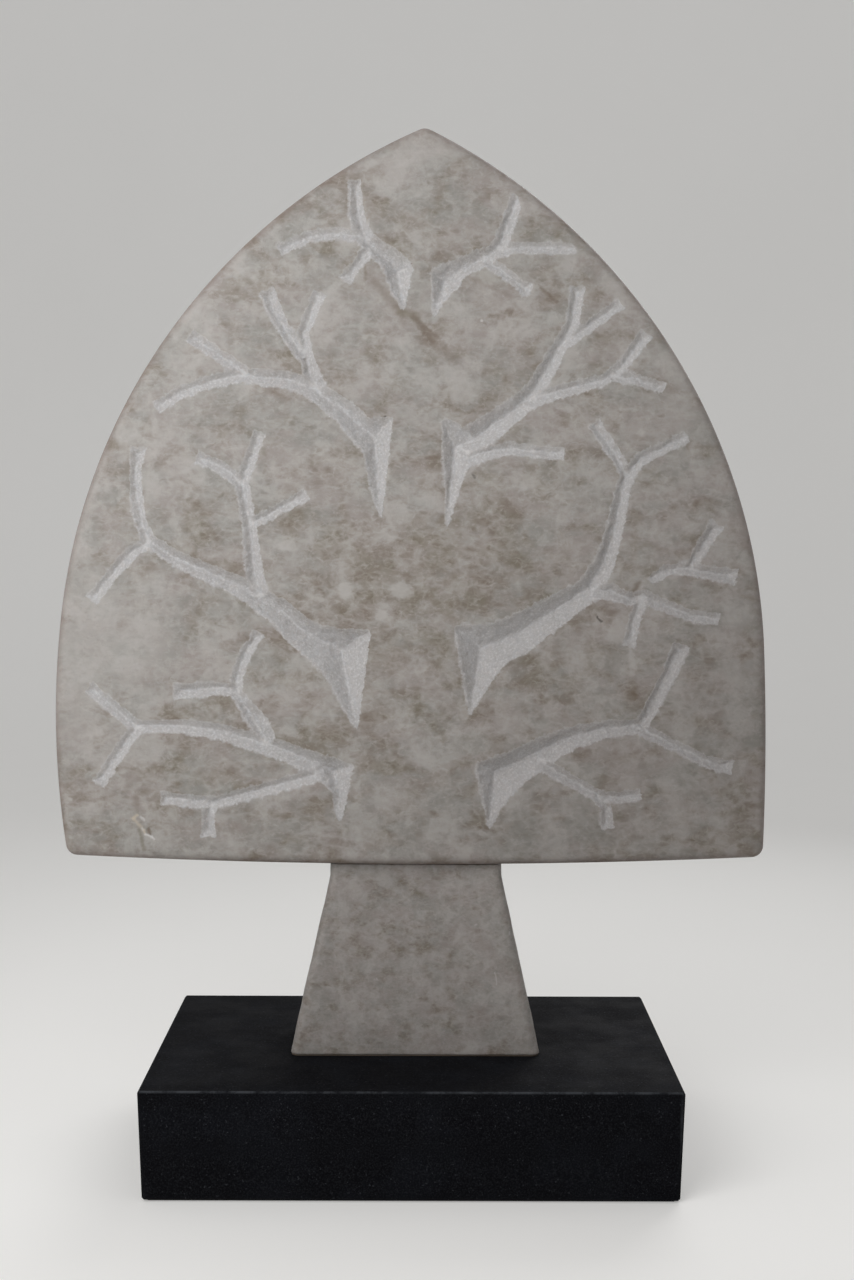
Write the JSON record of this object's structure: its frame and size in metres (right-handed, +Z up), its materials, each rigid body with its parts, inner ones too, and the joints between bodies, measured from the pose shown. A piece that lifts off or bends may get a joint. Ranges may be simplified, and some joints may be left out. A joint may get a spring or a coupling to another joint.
{
  "type": "carved stone tree sculpture",
  "caption": "Pointed slab of pale mottled stone carved with bare forked branches, on a tapered stone trunk and a black stone block plinth.",
  "frame": {"origin": "under the middle of the crown, on the plane that the felt stands on", "axes": "+Z up, -Y towards the viewer: the carved front faces -Y; +X to the viewer's right"},
  "size_m": [0.4118, 0.2, 0.5963],
  "materials": {
    "pale_stone": "hand-finished matt alabaster, cream and grey clouds with olive-brown patches",
    "black_stone": "honed",
    "resin": "cast",
    "stainless_steel": "drawn bar",
    "felt": "felted"
  },
  "bodies": {
    "root": {"crown": "pale_stone", "trunk": "pale_stone", "plinth": "black_stone", "crown_bed": "resin", "trunk_bed": "resin", "crown_pin_left": "stainless_steel", "crown_pin_right": "stainless_steel", "crown_pin_resin_left": "resin", "crown_pin_resin_right": "resin", "trunk_stud_left": "stainless_steel", "trunk_stud_right": "stainless_steel", "trunk_stud_resin_left": "resin", "trunk_stud_resin_right": "resin", "stud_washer_left": "stainless_steel", "stud_washer_right": "stainless_steel", "stud_nut_left": "stainless_steel", "stud_nut_right": "stainless_steel", "base_felt": "felt"}
  },
  "joints": []
}
